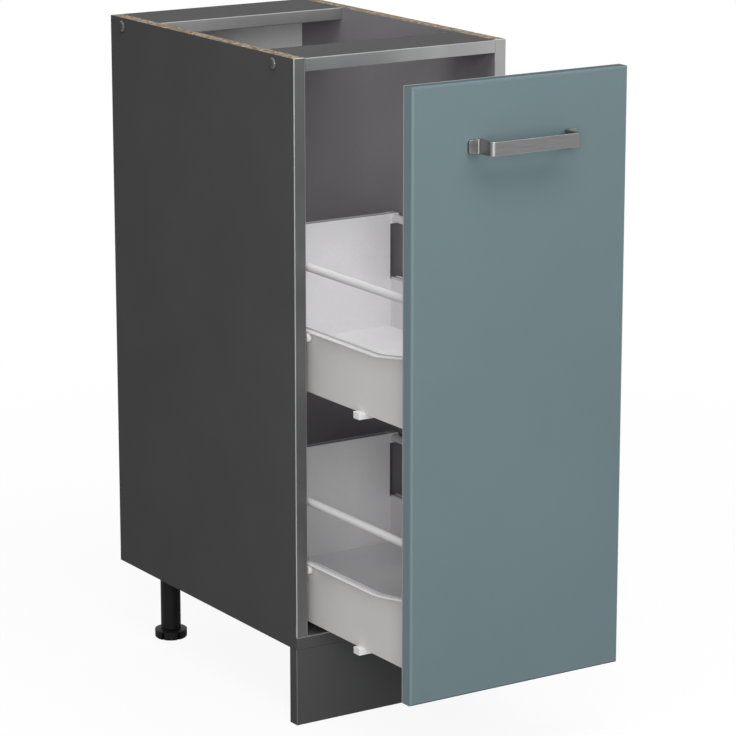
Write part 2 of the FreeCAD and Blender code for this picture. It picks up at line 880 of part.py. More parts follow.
def make_tray_back(level_name, level):
    """A board that closes the walls and stands above them between the gallery rods."""
    body = new_body(f"tray_back_{level_name}", 0, tray_back_y, level)
    outline = new_sketch(body, "XZ_Plane")
    draw_polygon(outline, [
        (-tray_half, 0),
        (tray_half, 0),
        (tray_half, wall_rise),
        (tray_back_half, wall_rise),
        (tray_back_half, s.tray_back_rise),
        (-tray_back_half, s.tray_back_rise),
        (-tray_back_half, wall_rise),
        (-tray_half, wall_rise),
    ])
    pad(body, outline, s.tray_back_board, backwards=True)
    kept(body)


def make_gallery(level_name, level):
    """Two rods from sockets on the front panel to sockets on the ends of the tray back."""
    z = level + s.gallery_rise
    start = front_back + s.socket_base
    far = tray_back_y + s.holder_bore
    left = kept(cylinder(f"gallery_{level_name}_left", s.gallery_dia, far - start, (-tray_half, start, z), "+Y"))
    kept(mirrored(f"gallery_{level_name}_right", left))

    wide = s.gallery_dia + 2 * s.hole_clearance
    cap = cylinder("gallery_cap", s.socket_dia, s.socket_length, (-tray_half, front_back, z), "+Y")
    bore = cylinder("gallery_bore", wide, s.socket_length, (-tray_half, start, z), "+Y")
    socket = cut("gallery_socket", cap, [bore])
    kept(group(f"gallery_sockets_{level_name}", [socket, mirrored("gallery_socket_right", socket)]))

    half_high = wide / 2 + s.holder_wall
    outer = -(tray_half + half_high)
    block = new_body("gallery_holder_block", outer, tray_back_y, z - half_high)
    outline = new_sketch(block, "XZ_Plane")
    draw_rectangle(outline, (0, 0), (-tray_back_half - outer, 2 * half_high))
    plate = pad(block, outline, s.tray_back_board, backwards=True)
    half_deep = s.tray_back_board.value / 2
    fillet_where(block, plate, s.holder_round,
                 lambda middle, _: close(middle.x, 0) and close(middle.y, half_deep))
    bore = cylinder("gallery_holder_bore", wide, s.holder_bore, (-tray_half, tray_back_y, z), "+Y")
    holder = cut("gallery_holder", block, [bore])
    kept(group(f"gallery_holders_{level_name}", [holder, mirrored("gallery_holder_right", holder)]))


def make_guide_clips(level_name, level):
    """Plastic side guides hooked under the tray wall."""
    near = front_back + s.clip_from_front
    body = new_body(f"guide_clip_{level_name}", -inner_half, near, level)
    outline = new_sketch(body, "XZ_Plane")
    draw_polygon(outline, [
        (s.clip_side_gap, -s.clip_drop),
        (s.tray_side_gap + s.clip_reach, -s.clip_drop),
        (s.tray_side_gap + s.clip_reach, 0),
        (s.tray_side_gap, 0),
        (s.tray_side_gap, s.clip_rise),
        (s.clip_side_gap, s.clip_rise),
    ])
    pad(body, outline, s.clip_length, backwards=True)
    kept(group(f"guide_clips_{level_name}", [body, mirrored("guide_clip_right", body)]))


def make_front_blocks(level_name, level):
    """Brackets on the front panel, each with a tongue between the skins of a tray wall."""
    body = new_body(f"front_block_{level_name}", -tray_half, front_back, level)
    outline = new_sketch(body, "XY_Plane", s.front_block_lift)
    near = s.tray_sheet + s.front_block_fit
    far = s.tray_wall - near
    tip = s.front_plate_thick + s.front_block_tongue
    draw_polygon(outline, [
        (0, 0),
        (s.front_plate_width, 0),
        (s.front_plate_width, s.front_plate_thick),
        (far, s.front_plate_thick),
        (far, tip),
        (near, tip),
        (near, s.front_plate_thick),
        (0, s.front_plate_thick),
    ])
    pad(body, outline, s.front_block_height)
    kept(group(f"front_blocks_{level_name}", [body, mirrored("front_block_right", body)]))


def make_model():
    make_sides()
    make_bottom()
    make_top_rails()
    make_board_screws()
    make_back_and_plinth()
    make_plinth_brackets()
    make_legs()
    make_front()
    make_handle()
    make_handle_screws()
    make_roller_pins()
    make_runner_screws()
    tray_makers = (make_cabinet_runner, make_front_rollers, make_rear_rollers, make_tray_wall, make_tray_rim,
                   make_tray_floor, make_tray_back, make_gallery, make_guide_clips, make_front_blocks)
    for level_name, level in TRAY_LEVELS.items():
        for maker in tray_makers:
            maker(level_name, level)


def check_model():
    """Stop before anything is written if an object failed or a shape is bad."""
    for item in doc.Objects:
        if "Invalid" in item.State or "Error" in item.State:
            raise RuntimeError(f"{item.Label} failed: {item.State}")
    for piece in sub_parts:
        if piece.Shape.isNull() or not piece.Shape.isValid() or not piece.Shape.Solids:
            raise RuntimeError(f"{piece.Label} has no valid solid")


make_model()
doc.recompute()
check_model()
os.makedirs("parts", exist_ok=True)
for sub_part in sub_parts:
    sub_part.Shape.exportStep(f"parts/{sub_part.Label}.step")
print(f"{len(sub_parts)} sub-parts written")
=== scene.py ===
import json
import math

import bmesh
import bpy
from mathutils import Matrix, Vector

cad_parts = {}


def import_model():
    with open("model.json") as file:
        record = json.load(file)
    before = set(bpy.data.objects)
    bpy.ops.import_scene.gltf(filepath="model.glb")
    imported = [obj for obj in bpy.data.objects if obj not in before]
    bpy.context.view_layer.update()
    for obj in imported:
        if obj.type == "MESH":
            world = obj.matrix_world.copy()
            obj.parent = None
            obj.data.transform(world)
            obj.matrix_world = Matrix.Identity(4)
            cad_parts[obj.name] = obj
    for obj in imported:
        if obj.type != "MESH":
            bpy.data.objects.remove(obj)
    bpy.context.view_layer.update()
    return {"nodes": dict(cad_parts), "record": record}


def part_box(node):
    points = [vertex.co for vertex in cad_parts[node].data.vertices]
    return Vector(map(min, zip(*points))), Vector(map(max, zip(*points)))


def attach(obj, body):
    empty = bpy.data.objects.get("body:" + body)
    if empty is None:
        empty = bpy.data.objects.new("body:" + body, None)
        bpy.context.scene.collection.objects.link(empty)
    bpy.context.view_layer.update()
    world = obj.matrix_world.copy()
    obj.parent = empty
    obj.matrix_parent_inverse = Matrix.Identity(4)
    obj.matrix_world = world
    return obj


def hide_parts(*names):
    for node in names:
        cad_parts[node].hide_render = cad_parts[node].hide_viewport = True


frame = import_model()
nodes = frame["nodes"]

MM = 0.001
X, Y, Z = range(3)
LEVELS = ("upper", "lower")
SIDES = ("left", "right")

# Camera at the photograph's viewpoint
CAMERA_PLACE = (-2.1483, -3.3551, 1.3956)
CAMERA_DOWN_DEG = 13.893
CAMERA_YAW_DEG = -32.716
CAMERA_LENS_MM = 163.14
CAMERA_SENSOR_MM = 36.0


# Material helpers

# The part of a noise's range that most of its values fall in
NOISE_BAND = (0.3, 0.7)
WHOLE_BAND = (0.0, 1.0)


def shade(colour, factor):
    return tuple(min(1.0, channel * factor) for channel in colour)


class Surface:
    """A procedural material and short calls for the nodes that it is made of."""

    def __init__(self, name, **settings):
        self.material = bpy.data.materials.new(name)
        self.material.use_nodes = True
        self.tree = self.material.node_tree
        self.shader = self.tree.nodes["Principled BSDF"]
        self.place = self.add("ShaderNodeTexCoord").outputs["Object"]
        for socket, value in settings.items():
            self.shader.inputs[socket.replace("_", " ")].default_value = value

    def add(self, kind, **settings):
        node = self.tree.nodes.new(kind)
        for key, value in settings.items():
            setattr(node, key, value)
        return node

    def feed(self, socket, source):
        """Link an output to a socket, or set the socket to a number or colour."""
        if isinstance(source, bpy.types.NodeSocket):
            self.tree.links.new(source, socket)
        else:
            socket.default_value = source

    def stretched(self, factors):
        """Object coordinates scaled by three factors, for grain that runs one way."""
        mapping = self.add("ShaderNodeMapping")
        self.feed(mapping.inputs["Vector"], self.place)
        mapping.inputs["Scale"].default_value = factors
        return mapping.outputs["Vector"]

    def noise(self, scale, detail=3.0, roughness=0.5, vector=None):
        node = self.add("ShaderNodeTexNoise")
        self.feed(node.inputs["Vector"], vector or self.place)
        node.inputs["Scale"].default_value = scale
        node.inputs["Detail"].default_value = detail
        node.inputs["Roughness"].default_value = roughness
        return node.outputs["Fac"]

    def cells(self, scale, output="Distance", vector=None):
        node = self.add("ShaderNodeTexVoronoi")
        self.feed(node.inputs["Vector"], vector or self.place)
        node.inputs["Scale"].default_value = scale
        return node.outputs[output]

    def ramp(self, factor, *stops):
        node = self.add("ShaderNodeValToRGB")
        self.feed(node.inputs["Fac"], factor)
        elements = node.color_ramp.elements
        while len(elements) < len(stops):
            elements.new(0.5)
        for element, (position, colour) in zip(elements, stops):
            element.position = position
            element.color = (*colour, 1.0)
        return node.outputs["Color"]

    def span(self, factor, low, high, start, end):
        """Map a factor between start and end to a value between low and high."""
        node = self.add("ShaderNodeMapRange")
        for name, source in zip(("Value", "From Min", "From Max", "To Min", "To Max"),
                                (factor, start, end, low, high)):
            self.feed(node.inputs[name], source)
        return node.outputs["Result"]

    def mixed(self, factor, first, second):
        """Two colours, mixed by a factor; each is an output or a plain colour."""
        node = self.add("ShaderNodeMix", data_type="RGBA")
        self.feed(node.inputs["Factor"], factor)
        for socket, source in zip(("A", "B"), (first, second)):
            target = [item for item in node.inputs if item.name == socket and item.type == "RGBA"][0]
            self.feed(target, source if isinstance(source, bpy.types.NodeSocket) else (*source, 1.0))
        return [item for item in node.outputs if item.type == "RGBA"][0]

    def shades(self, factor, colour, dark, light, band=NOISE_BAND):
        """A colour that wanders between a darker and a lighter shade of itself."""
        return self.mixed(self.span(factor, 0.0, 1.0, *band), shade(colour, dark), shade(colour, light))

    def colour(self, source):
        self.feed(self.shader.inputs["Base Color"], source)

    def rough(self, factor, low, high, band=NOISE_BAND):
        """Let the roughness wander between two levels."""
        self.feed(self.shader.inputs["Roughness"], self.span(factor, low, high, *band))

    def bump(self, height, depth_mm, strength):
        node = self.add("ShaderNodeBump")
        node.inputs["Strength"].default_value = strength
        node.inputs["Distance"].default_value = depth_mm * MM
        self.feed(node.inputs["Height"], height)
        self.feed(self.shader.inputs["Normal"], node.outputs["Normal"])


# Materials

def melamine(name, colour, roughness=0.7, gloss=0.02):
    """Resin paper on board: a fine pearl texture with a faint cloudy tone."""
    look = Surface(name, Specular_IOR_Level=gloss)
    cloud = look.noise(9.0, detail=4.0)
    speck = look.noise(1400.0, detail=2.0)
    tone = look.shades(cloud, colour, 0.95, 1.05)
    look.colour(look.mixed(look.span(speck, 0.0, 0.5, 0.35, 0.75), tone, shade(colour, 0.82)))
    look.rough(speck, roughness - 0.06, roughness + 0.08)
    look.bump(look.noise(950.0, detail=2.0), 0.03, 0.35)
    return look.material


def edge_band(name, colour, metallic, roughness):
    """Thin plastic edging with a metallic tone and faint scraper lines along the edge."""
    look = Surface(name, Metallic=metallic)
    lines = look.noise(60.0, vector=look.stretched((0.2, 8.0, 0.2)))
    fine = look.noise(1200.0, detail=1.0)
    look.colour(look.shades(lines, colour, 0.92, 1.06, band=(0.35, 0.65)))
    look.rough(fine, roughness - 0.05, roughness + 0.06)
    look.bump(fine, 0.02, 0.25)
    return look.material


def chipboard(name):
    """Raw board edge: pressed chips of several browns with dark pores between them."""
    look = Surface(name, Specular_IOR_Level=0.2)
    along = look.stretched((1.0, 0.55, 1.0))
    chips = look.cells(360.0, "Color", vector=along)
    tone = look.add("ShaderNodeSeparateColor")
    look.feed(tone.inputs["Color"], chips)
    browns = look.ramp(tone.outputs["Red"], (0.0, (0.07, 0.046, 0.028)), (0.3, (0.175, 0.125, 0.082)),
                       (0.7, (0.285, 0.215, 0.146)), (1.0, (0.42, 0.335, 0.245)))
    pores = look.noise(700.0, detail=4.0)
    look.colour(look.mixed(look.span(pores, 0.8, 0.0, 0.34, 0.48), browns, (0.05, 0.032, 0.02)))
    look.rough(pores, 0.75, 0.95)
    look.bump(look.noise(900.0), 0.25, 0.6)
    return look.material


def hardboard(name):
    """Back of the thin rear sheet: brown pressed fibre with a screen texture."""
    look = Surface(name, Specular_IOR_Level=0.25)
    fibre = look.noise(320.0, detail=5.0, roughness=0.65)
    cloud = look.noise(14.0)
    tone = look.mixed(look.span(cloud, 0.0, 1.0, *NOISE_BAND), (0.2, 0.125, 0.07), (0.27, 0.175, 0.1))
    look.colour(look.mixed(look.span(fibre, 0.6, 0.0, 0.35, 0.6), tone, (0.13, 0.08, 0.045)))
    look.rough(fibre, 0.6, 0.85)
    look.bump(look.cells(420.0), 0.12, 0.5)
    return look.material


def matte_foil(name, colour, gloss=0.15):
    """Silk matte foil: a barely visible orange peel and a soft sheen."""
    look = Surface(name, Specular_IOR_Level=gloss)
    cloud = look.noise(5.0)
    fine = look.noise(700.0, detail=2.0)
    look.colour(look.shades(cloud, colour, 0.97, 1.03))
    look.rough(fine, 0.52, 0.62)
    look.bump(look.noise(260.0, detail=2.0), 0.04, 0.3)
    return look.material


def powder_coat(name, colour):
    """Sprayed and baked paint on sheet steel, with an even orange peel."""
    look = Surface(name, Specular_IOR_Level=0.5)
    peel = look.noise(420.0, detail=2.0)
    cloud = look.noise(11.0)
    look.colour(look.shades(cloud, colour, 0.97, 1.02))
    look.rough(peel, 0.33, 0.45)
    look.bump(peel, 0.05, 0.3)
    return look.material


def moulded(name, colour, roughness=0.45, gloss=0.35):
    """Moulded plastic with a fine spark-eroded grain."""
    look = Surface(name, Specular_IOR_Level=gloss)
    grain = look.cells(1100.0)
    cloud = look.noise(40.0)
    look.colour(look.shades(cloud, colour, 0.92, 1.06))
    look.rough(grain, roughness - 0.06, roughness + 0.1, band=WHOLE_BAND)
    look.bump(grain, 0.03, 0.4)
    return look.material


def brushed(name, colour, roughness=0.36):
    """Satin metal with brush lines along the X axis."""
    look = Surface(name, Metallic=1.0)
    lines = look.noise(900.0, detail=4.0, roughness=0.6, vector=look.stretched((0.03, 1.0, 1.0)))
    look.colour(look.shades(lines, colour, 0.86, 1.1))
    look.rough(lines, roughness - 0.07, roughness + 0.08)
    look.bump(lines, 0.015, 0.3)
    return look.material


def plated(name, colour, roughness=0.3):
    """Bright zinc plating with a faintly mottled grain."""
    look = Surface(name, Metallic=1.0)
    grain = look.cells(700.0, "Color")
    spots = look.noise(260.0)
    tone = look.shades(spots, colour, 0.85, 1.08)
    look.colour(look.mixed(0.08, tone, grain))
    look.rough(spots, roughness - 0.08, roughness + 0.1)
    look.bump(spots, 0.02, 0.3)
    return look.material


DARK_BOARD = (0.1, 0.1, 0.101)
# Painted light: a lighter copy of the dark board for the inner faces, standing in for light that falls
# inside the carcass
LIT_INNER_BOARD = (0.285, 0.273, 0.285)
REAR_SHEET = (0.88, 0.88, 0.885)
TEAL = (0.154, 0.215, 0.23)
WHITE = (0.9, 0.886, 0.896)
# Painted shade: a darker, warmer copy of the white for the tray walls' outer faces
SHADED_WARM_WHITE = (0.715, 0.705, 0.689)

materials = {
    "board": melamine("dark_melamine", DARK_BOARD),
    "inner": melamine("inner_melamine_painted_light", LIT_INNER_BOARD),
    "rear_sheet": melamine("rear_sheet_print", REAR_SHEET),
    "band": edge_band("grey_edge_band", (0.37, 0.37, 0.37), 0.82, 0.36),
    "chips": chipboard("raw_chipboard"),
    "fibre": hardboard("brown_hardboard"),
    "foil": matte_foil("blue_grey_foil", TEAL),
    "powder": powder_coat("white_powder_coat", WHITE),
    "tray_board": melamine("white_melamine", (0.905, 0.89, 0.9), 0.36, 0.4),
    "tray_floor": melamine("glossy_white_melamine", (0.965, 0.95, 0.965), 0.18, 0.8),
    "rod": powder_coat("rod_paint", shade(WHITE, 0.84)),
    # Painted shade: a darker copy of the white paint for the tray walls' inner faces
    "wall_inside": powder_coat("inner_wall_painted_shade", shade(WHITE, 0.86)),
    # Painted shade: a darker copy of the dark board, so that the rails' up-facing tops look less lit; also
    # used for the dark ring round the cover caps
    "rail": melamine("rail_melamine_painted_shade", shade(DARK_BOARD, 0.64)),
    # Painted shadow: a near-black brown on the slanted rounding along a side panel's top edges, drawn as a
    # dark line
    "board_rim": melamine("cut_board_rim", (0.03, 0.023, 0.018)),
    "steel": brushed("brushed_handle_steel", (0.222, 0.218, 0.217)),
    # Painted highlight: a lighter copy of the handle steel on the softened long edges of the bar
    "steel_edge": brushed("steel_edge_painted_highlight", (0.42, 0.415, 0.41), 0.3),
    # Painted light: a lighter copy of the handle steel on the front faces of the pads, standing in for
    # light that the pads reflect
    "steel_pad": brushed("steel_pad_painted_light", (0.29, 0.286, 0.285)),
    "zinc": plated("zinc_plate", (0.62, 0.62, 0.63)),
    "black": moulded("black_plastic", (0.008, 0.008, 0.0082), 0.55, 0.15),
    "nylon": moulded("white_nylon", (0.93, 0.925, 0.92), 0.4),
    # Painted shade: a greyer copy of the white nylon for the front rollers, which sit in the shade of the
    # gap
    "roller": moulded("roller_nylon_painted_shade", (0.78, 0.775, 0.77)),
    # Painted shade: near-black plated steel on the runners' front ends, which sit in the shade beside the
    # side panels' front edges
    "cut_end": plated("runner_end_painted_shade", (0.1, 0.1, 0.102), 0.5),
    "cap": moulded("dark_cover_cap", (0.05, 0.05, 0.051), 0.12, 1.0),
    "plinth": melamine("plinth_melamine", DARK_BOARD),
    # Painted highlight: a light grey on the softened upright corners of the bottom panel's and plinth's
    # fronts, as a bright line down the corner
    "worn_corner": melamine("board_corner_painted_highlight", (0.24, 0.24, 0.243)),
    # Painted highlight: a paler copy of the board on the rounding under the bottom panel's front edge, as a
    # faint light line above the plinth
    "seam": melamine("pale_board_seam", (0.15, 0.15, 0.152)),
    # Painted shade: a grey copy of the white paint in the rim's groove and on the lip inside it
    "groove": powder_coat("rim_groove_painted_shade", shade(WHITE, 0.7)),
    "back_edging": edge_band("grey_back_edging", (0.27, 0.27, 0.272), 0.0, 0.6),
    "back_lip": edge_band("pale_back_edging", (0.5, 0.5, 0.503), 0.0, 0.6),
    # Painted shade: a darker, less metallic copy of the grey edge band, used on the left side panel's front
    # edge only
    "side_band": edge_band("left_edge_band_painted_shade", (0.15, 0.15, 0.15), 0.55, 0.5),
    # Painted highlight: a lighter copy of the foil on the front panel's rounded edges
    "foil_edge": matte_foil("foil_rounding_painted_highlight", shade(TEAL, 1.22), 0.08),
    # Painted shade: a slightly darker copy of the foil on the upper rounding, against the light from above
    "foil_crest": matte_foil("foil_upper_rounding_painted_shade", shade(TEAL, 0.9), 0.05),
    # Painted shade: a darker, sheenless copy of the foil on the top edge, which the top lamp would light
    # more
    "foil_top": matte_foil("foil_top_edge_painted_shade", shade(TEAL, 0.65), 0.0),
    # Painted shade: a much darker copy of the foil on the lower rounding, as a dark line along the bottom
    # edge
    "foil_under": matte_foil("foil_lower_rounding_painted_shade", shade(TEAL, 0.4), 0.0),
    # Painted light: a lighter copy of the foil on the flat upright side edges
    "foil_side": matte_foil("foil_side_edges_painted_light", shade(TEAL, 1.15)),
    # Painted shade: an even blacker plastic in the sunk notches round the feet
    "notch": moulded("foot_notch_painted_shade", (0.003, 0.003, 0.0032), 0.7, 0.05),
    "backing": melamine("front_backing", (0.42, 0.405, 0.42)),
    # Painted shade on the tray walls' outer faces
    "side_paint": powder_coat("outer_wall_powder_coat_painted_shade", SHADED_WARM_WHITE),
}


# Mesh helpers

SMOOTH_DEG = 35.0
SHARP_DEG = 30.0
FLAT_DEG = 0.5
WELD = 1e-6
SAME_PLANE = 1e-5
EDGING_ROUND_MM = 1.3
EDGING_SEGMENTS = 3
# Shares of an axis in a direction
GRAZING = 0.05
TILTED = 0.2
HALFWAY = 0.5
MOSTLY = 0.9
WHOLLY = 0.99


def body_of(node):
    for body, members in frame["record"]["behaviour"]["bodies"].items():
        if node in members:
            return body
    raise KeyError(node)


def finish_mesh(build, name, looks):
    """Turn a bmesh into an object with smooth faces and sharp creases."""
    bmesh.ops.recalc_face_normals(build, faces=build.faces)
    mesh = bpy.data.meshes.new(name)
    build.to_mesh(mesh)
    build.free()
    mesh.shade_smooth()
    mesh.set_sharp_from_angle(angle=math.radians(SMOOTH_DEG))
    for look in looks:
        mesh.materials.append(look)
    piece = bpy.data.objects.new(name, mesh)
    bpy.context.scene.collection.objects.link(piece)
    piece.modifiers.new("even_normals", "WEIGHTED_NORMAL").keep_sharp = True
    return piece


def small_hardware(build, name, body, slot, *looks):
    """Finish a new piece that rides on a body and has no CAD node of its own."""
    piece = finish_mesh(build, name, [materials[look] for look in looks])
    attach(piece, body)


def stand_for(build, node, *looks):
    """Finish a piece that takes the place and motion of a CAD node."""
    piece = finish_mesh(build, f"{node}_finish", [materials[look] for look in looks])
    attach(piece, body_of(node))
    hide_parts(node)


def in_metres(steps):
    return [(radius * MM, height * MM) for radius, height in steps]


def looking(place, axis):
    """A frame at a place whose Z axis looks along the given axis."""
    return Matrix.Translation(place) @ Vector(axis).to_track_quat("Z", "Y").to_matrix().to_4x4()


def loop(build, at, points, height):
    return [build.verts.new(at @ Vector((x, y, height))) for x, y in points]


def round_loop(build, at, radius, height, count):
    turns = [2 * math.pi * index / count for index in range(count)]
    return loop(build, at, [(radius * math.cos(turn), radius * math.sin(turn)) for turn in turns], height)


def skin(build, lower, upper):
    """Faces between two loops with the same number of points."""
    count = len(lower)
    for index in range(count):
        after = (index + 1) % count
        build.faces.new((lower[index], lower[after], upper[after], upper[index]))


def turned(build, at, steps, count):
    """Loops and the faces between them, closed at the base, from (radius, height) steps upwards."""
    loops = [round_loop(build, at, radius, height, count) for radius, height in steps]
    build.faces.new(loops[0])
    for lower, upper in zip(loops, loops[1:]):
        skin(build, lower, upper)
    return loops


def button(build, at, steps, count):
    """A turned closed button, given as (radius, height) steps from its base to its top."""
    build.faces.new(turned(build, at, steps, count)[-1])


# A screw, as shares of its shank's radius and length, then of its head's radius and height
SCREW_SIDES = 24
SHANK_STEPS = ((0.7, -1.0), (1.0, -0.9), (1.0, 0.0))
HEAD_STEPS = ((1.0, 0.0), (1.0, 0.35), (0.86, 0.8), (0.68, 1.0))
# Reach, half width and height of its cross recess, as shares of the head's radius and height
RECESS_MOUTH = (0.55, 0.16, 1.0)
RECESS_FLOOR = (0.3, 0.09, 0.15)


def cross_points(reach, half):
    """Outline of a cross recess, three points in each quarter."""
    points = []
    for turn in range(4):
        for x, y in ((reach, half), (half, half), (half, reach)):
            for _ in range(turn):
                x, y = -y, x
            points.append((x, y))
    return points


def edges_of(build, ring):
    """The edges that run between the points of one loop."""
    return [edge for edge in build.edges if edge.verts[0] in ring and edge.verts[1] in ring]


def screw(build, at, radius, height, shank_radius, shank_length):
    """A pan-head screw with a tapered cross recess; the head stands at the frame's origin."""
    steps = [(shank_radius * wide, shank_length * high) for wide, high in SHANK_STEPS]
    steps += [(radius * wide, height * high) for wide, high in HEAD_STEPS]
    rim = turned(build, at, steps, SCREW_SIDES)[-1]
    mouth, deep = (loop(build, at, cross_points(radius * reach, radius * half), height * high)
                   for reach, half, high in (RECESS_MOUTH, RECESS_FLOOR))
    rim_edges = edges_of(build, rim)
    skin(build, mouth, deep)
    bmesh.ops.bridge_loops(build, edges=rim_edges + edges_of(build, mouth))
    build.faces.new(deep)


def sharp_edges(build):
    crease = math.radians(SHARP_DEG)
    shared = [edge for edge in build.edges if len(edge.link_faces) == 2]
    return [edge for edge in shared if edge.calc_face_angle(0.0) > crease]


def soften(build, edges, width_mm, segments):
    bmesh.ops.bevel(build, geom=edges, offset=width_mm * MM, segments=segments, profile=0.5,
                    affect="EDGES", clamp_overlap=True)


def front_edges(build, axis):
    """Sharp edges that run along one axis on the foremost face."""
    near = min(vertex.co.y for vertex in build.verts)

    def is_front(edge):
        run = (edge.verts[1].co - edge.verts[0].co).normalized()
        foremost = all(abs(vertex.co.y - near) < SAME_PLANE for vertex in edge.verts)
        return abs(run[axis]) > WHOLLY and foremost

    return [edge for edge in sharp_edges(build) if is_front(edge)]


def cut_across(build, y):
    """Split the faces along a plane across the Y axis, so that both sides can differ."""
    everything = build.verts[:] + build.edges[:] + build.faces[:]
    bmesh.ops.bisect_plane(build, geom=everything, plane_co=(0.0, y, 0.0), plane_no=(0.0, 1.0, 0.0))


def refined(node, look, bevel_mm, segments=2, patches=(), edging_axis=None, cut_y=None):
    """Dress a CAD node: flat faces made whole, edges softened, and other looks where a test picks a face.

    patches holds (test, look) pairs, and a later pair wins over an earlier one. Edges along edging_axis
    on the foremost face get the rounding of an edge band. Faces are split at cut_y.
    """
    build = bmesh.new()
    build.from_mesh(nodes[node].data)
    bmesh.ops.remove_doubles(build, verts=build.verts, dist=WELD)
    bmesh.ops.dissolve_limit(build, angle_limit=math.radians(FLAT_DEG),
                             verts=build.verts, edges=build.edges)
    if edging_axis is not None:
        soften(build, front_edges(build, edging_axis), EDGING_ROUND_MM, EDGING_SEGMENTS)
    soften(build, sharp_edges(build), bevel_mm, segments)
    if cut_y is not None:
        cut_across(build, cut_y)
    for face in build.faces:
        for index, (wanted, _) in enumerate(patches, start=1):
            if wanted(face.normal, face.calc_center_median()):
                face.material_index = index
    stand_for(build, node, look, *(extra for _, extra in patches))


# Tests that pick faces by normal and middle

NOTCH_MM = 0.8
SEAM_SHARE = 0.75
BAR_FLAT_SHARE = 0.97
RIM_GROOVE_MM = (118.0, 124.6)


def facing_between(axis, low, high):
    """A test for faces whose normal lies between two shares of an axis."""
    return lambda normal, _: low < normal[axis] < high


def facing(axis, sign, share=MOSTLY):
    """A test for faces that look along one axis."""
    return lambda normal, _: normal[axis] * sign > share


def before(y, test):
    """A test for faces in front of a plane across the Y axis."""
    return lambda normal, middle: middle.y < y and test(normal, middle)


def behind(y, test):
    """A test for faces behind a plane across the Y axis."""
    return lambda normal, middle: middle.y > y and test(normal, middle)


def upper_front(normal, _):
    """A test for the upper rounding of a front edge."""
    return normal.z > TILTED and normal.y < -TILTED


def lower_front(normal, _):
    """A test for the upper half of the rounding under a front edge."""
    return normal.y < -TILTED and -SEAM_SHARE < normal.z < -TILTED


def front_corner(normal, _):
    """A test for the softened upright corners beside a front face."""
    return normal.y < -TILTED and abs(normal.x) > TILTED


def side_edge(normal, _):
    """A test for the flat upright edges of a front."""
    return abs(normal.x) > WHOLLY


def slanted(normal, _):
    """A test for the softened long edges of a flat bar."""
    return TILTED < abs(normal.z) < BAR_FLAT_SHARE


def outward(normal, middle):
    """A test for faces that look away from the middle plane."""
    return normal.x * middle.x > 0 and abs(normal.x) > MOSTLY


def inward(normal, middle):
    """A test for faces that look towards the middle plane."""
    return normal.x * middle.x < 0 and abs(normal.x) > MOSTLY


def in_groove(normal, middle):
    """A test for the groove along a tray rim and the lip on its inner side."""
    near, far = (size * MM for size in RIM_GROOVE_MM)
    return near < abs(middle.x) < far and normal.z > -HALFWAY


def in_notch(node):
    """A test for the sunk upright faces round a foot."""
    low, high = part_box(node)
    centre = (low + high) / 2
    reach = (high.x - low.x) / 2

    def wanted(normal, middle):
        away = math.hypot(middle.x - centre.x, middle.y - centre.y)
        return abs(normal.z) < HALFWAY and reach / 2 < away < reach - NOTCH_MM * MM

    return wanted


# Carcass

BOARD_BEVEL_MM = 0.5
SHEET_BEVEL_MM = 0.2
PIN_BEVEL_MM = 0.2
RUNNER_BEVEL_MM = 0.25
ROLLER_BEVEL_MM = 0.3
PLASTIC_BEVEL_MM = 0.4
LEG_BEVEL_MM = 0.6
EDGING_MM = 2.0


def make_carcass():
    front = facing(Y, -1, 0.3)
    flat_front = facing(Y, -1, WHOLLY)
    rear = facing(Y, 1)
    top = facing(Z, 1)
    # Slanted faces along the side panels' top edges get a painted shadow line
    top_rim = facing_between(Z, 0.1, MOSTLY)
    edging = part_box("side_panel_left")[0].y + EDGING_MM * MM
    # The left side panel's front edge gets the darker edge band as painted shade; the right one keeps the
    # plain band
    for side, inner_sign, front_look in (("left", 1, "side_band"), ("right", -1, "band")):
        # The inner faces get the lighter inner board as painted light
        refined(f"side_panel_{side}", "board", BOARD_BEVEL_MM, edging_axis=Z, cut_y=edging,
                patches=[(top_rim, "board_rim"), (front, "band"), (flat_front, front_look), (rear, "chips"),
                         (top, "chips"), (before(edging, top), "band"), (facing(X, inner_sign), "inner")])
    # Under the bottom panel's front edge a paler board paints a highlight line, and its front corners get
    # the painted corner highlight
    refined("bottom_panel", "board", BOARD_BEVEL_MM, edging_axis=X,
            patches=[(front, "plinth"), (upper_front, "band"), (lower_front, "seam"),
                     (front_corner, "worn_corner"), (rear, "chips")])
    # The top rails get the darker rail board as painted shade
    for end in ("front", "rear"):
        refined(f"top_rail_{end}", "rail", BOARD_BEVEL_MM, edging_axis=X,
                patches=[(front, "band"), (rear, "chips")])
    # The plinth's front corners get the painted corner highlight
    refined("plinth_panel", "plinth", BOARD_BEVEL_MM, patches=[(front_corner, "worn_corner")])
    refined("back_panel", "fibre", SHEET_BEVEL_MM, patches=[(facing(Y, -1), "rear_sheet")])
    refined("plinth_brackets", "black", PLASTIC_BEVEL_MM)
    for name in ("rail_screws", "base_screws", "runner_screws", "front_roller_pins"):
        refined(name, "zinc", PIN_BEVEL_MM)
    for side in SIDES:
        foot = f"foot_{side}"
        refined(f"leg_{side}", "black", LEG_BEVEL_MM)
        # The feet's notches get the blacker plastic as painted shade
        refined(foot, "black", LEG_BEVEL_MM, patches=[(in_notch(foot), "notch")])
    # The runners' front ends get the near-black steel as painted shade
    runner_end = facing(Y, -1, HALFWAY)
    for level in LEVELS:
        for side in SIDES:
            refined(f"cabinet_runner_{level}_{side}", "powder", RUNNER_BEVEL_MM,
                    patches=[(runner_end, "cut_end")])
            # The front rollers get the greyer nylon as painted shade
            refined(f"front_roller_{level}_{side}", "roller", ROLLER_BEVEL_MM)


